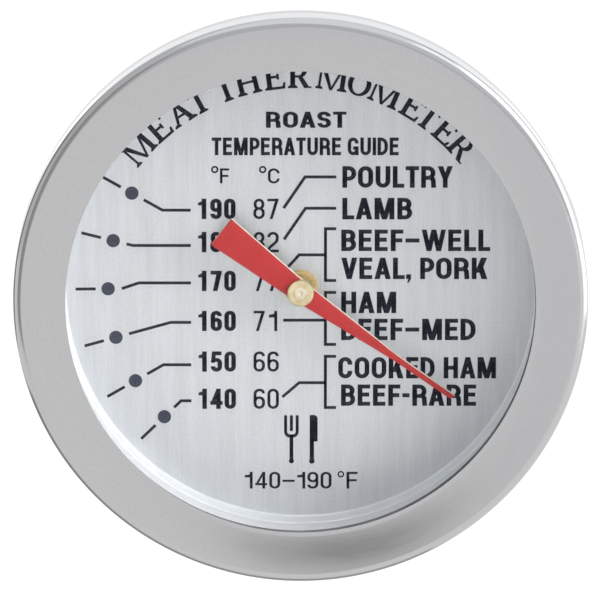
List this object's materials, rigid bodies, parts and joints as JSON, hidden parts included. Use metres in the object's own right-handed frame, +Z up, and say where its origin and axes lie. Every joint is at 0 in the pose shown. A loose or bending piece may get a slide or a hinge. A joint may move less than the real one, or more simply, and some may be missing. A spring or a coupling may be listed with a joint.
{
  "type": "meat thermometer",
  "caption": "Round dial meat thermometer: glazed steel head with a red pointer over a brushed dial, and a straight pointed stem behind it that holds a bimetal coil.",
  "frame": {"origin": "on the axis of the stem, where it leaves the boss behind the head", "axes": "+Y along the stem towards its point, +Z up across the dial as it is read, +X to the right of the dial seen from the front"},
  "size_m": [0.0604, 0.14, 0.0604],
  "materials": {
    "bezel_steel": "satin",
    "case_steel": "satin",
    "stem_steel": "polished",
    "plated_steel": "plated",
    "lens_glass": "clear",
    "seal_rubber": "matte",
    "spacer_aluminium": "satin",
    "dial_aluminium": "brushed",
    "dial_ink": "printed",
    "pointer_red": "satin",
    "brass": "turned",
    "bimetal": "rolled"
  },
  "bodies": {
    "head": {"bezel": "bezel_steel", "lens_gasket": "seal_rubber", "lens": "lens_glass", "case_gasket": "seal_rubber", "spacer_ring": "spacer_aluminium", "dial_pan": "dial_aluminium", "case_back": "case_steel", "boss_seal": "seal_rubber", "stem_boss": "case_steel", "lock_washer": "plated_steel", "lock_nut": "plated_steel", "dial_bush": "brass", "upper_guide": "brass", "lower_guide": "brass", "stem_tube": "stem_steel", "stem_tip": "stem_steel", "bimetal_coil": "bimetal", "coil_anchor": "brass"},
    "pointer_train": {"pointer": "pointer_red", "pointer_hub": "brass", "pointer_shaft": "plated_steel", "coil_collet": "brass"}
  },
  "joints": [
    {"name": "pointer_turn", "type": "hinge", "parent": "head", "child": "pointer_train", "pos_m": [0, 0, 0], "axis": [0, 1, 0], "range_deg": [-55, 205], "stiffness_Nm_per_rad": 0.00097, "deforming": ["bimetal_coil"]}
  ]
}
